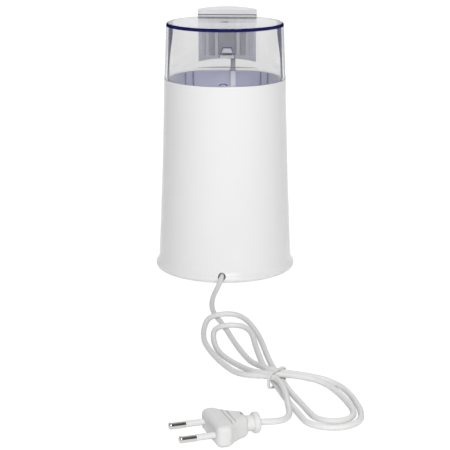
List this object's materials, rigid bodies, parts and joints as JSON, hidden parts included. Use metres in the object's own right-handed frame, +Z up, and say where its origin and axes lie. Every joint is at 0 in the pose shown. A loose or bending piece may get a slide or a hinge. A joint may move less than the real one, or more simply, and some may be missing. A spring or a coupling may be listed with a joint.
{
  "type": "electric coffee grinder",
  "caption": "Electric blade coffee grinder: white tapered body, clear lift-off lid with a push button, steel bowl and blade, motor, and a tied mains cord with a flat plug.",
  "frame": {"origin": "on the floor under the middle of the base", "axes": "+Z up along the motor shaft, +Y toward the push button, cord leaves at -Y"},
  "size_m": [0.1375, 0.3867, 0.1838],
  "materials": {
    "white_shell": "smooth gloss white",
    "clear_lid": "clear, faintly blue at the edges",
    "grey_button": "satin light grey",
    "grey_plastic": "matte light grey",
    "black_plastic": "matte black",
    "dark_rubber": "soft matte",
    "white_cord": "satin white sheath",
    "white_tie": "plain white band",
    "white_plug": "satin white",
    "pin_metal": "nickel plated",
    "bowl_steel": "spun, fine rings",
    "blade_steel": "ground",
    "spring_steel": "drawn wire",
    "zinc_steel": "zinc plated",
    "bronze": "sintered",
    "copper": "enamelled winding",
    "core_iron": "stacked sheets",
    "carbon": "dull carbon",
    "blue_wire": "insulation",
    "brown_wire": "insulation"
  },
  "bodies": {
    "base": {"housing": "white_shell", "base_cover": "grey_plastic", "cover_screws": "zinc_steel", "rubber_feet": "dark_rubber", "return_spring": "spring_steel", "switch_body": "black_plastic", "switch_screws": "zinc_steel", "grinding_bowl": "bowl_steel", "shaft_seal": "dark_rubber", "motor_carrier": "grey_plastic", "carrier_screws": "zinc_steel", "upper_bearing": "bronze", "lower_bearing": "bronze", "field_core": "core_iron", "field_coils": "copper", "motor_dampers": "dark_rubber", "lower_bracket": "black_plastic", "motor_screws": "zinc_steel", "brush_holders": "bronze", "carbon_brushes": "carbon", "cord_clamp": "grey_plastic", "clamp_screws": "zinc_steel", "cord_inlet": "white_cord", "neutral_wire": "blue_wire", "live_wire": "brown_wire", "switch_wire": "brown_wire", "cord_lead": "white_cord", "cord_hank": "white_cord", "cord_tail": "white_cord", "cord_tie": "white_tie", "plug_body": "white_plug", "plug_sleeves": "white_plug", "plug_pins": "pin_metal"},
    "lid": {"lid": "clear_lid"},
    "button": {"push_button": "grey_button"},
    "switch": {"switch_rod": "white_shell", "switch_plunger": "black_plastic"},
    "rotor": {"motor_shaft": "blade_steel", "armature_core": "core_iron", "armature_winding": "copper", "commutator": "copper", "cooling_fan": "black_plastic", "blade_hub": "black_plastic", "blade": "blade_steel", "blade_nut": "blade_steel"}
  },
  "joints": [
    {"name": "lid_lift", "type": "slide", "parent": "base", "child": "lid", "axis": [0, 0, 1], "range_m": [0, 0.06]},
    {"name": "button_press", "type": "slide", "parent": "lid", "child": "button", "axis": [0, 0, -1], "range_m": [0, 0.0035], "stiffness_N_per_m": 600, "springref_m": -0.004},
    {"name": "rod_press", "type": "slide", "parent": "base", "child": "switch", "axis": [0, 0, -1], "range_m": [0, 0.0035], "deforming": ["return_spring"]},
    {"name": "rotor_spin", "type": "hinge", "parent": "base", "child": "rotor", "pos_m": [0, 0, 0.09], "axis": [0, 0, 1], "continuous": true}
  ],
  "couplings": [
    {"joint": "rod_press", "follows": "button_press", "ratio": 1}
  ]
}
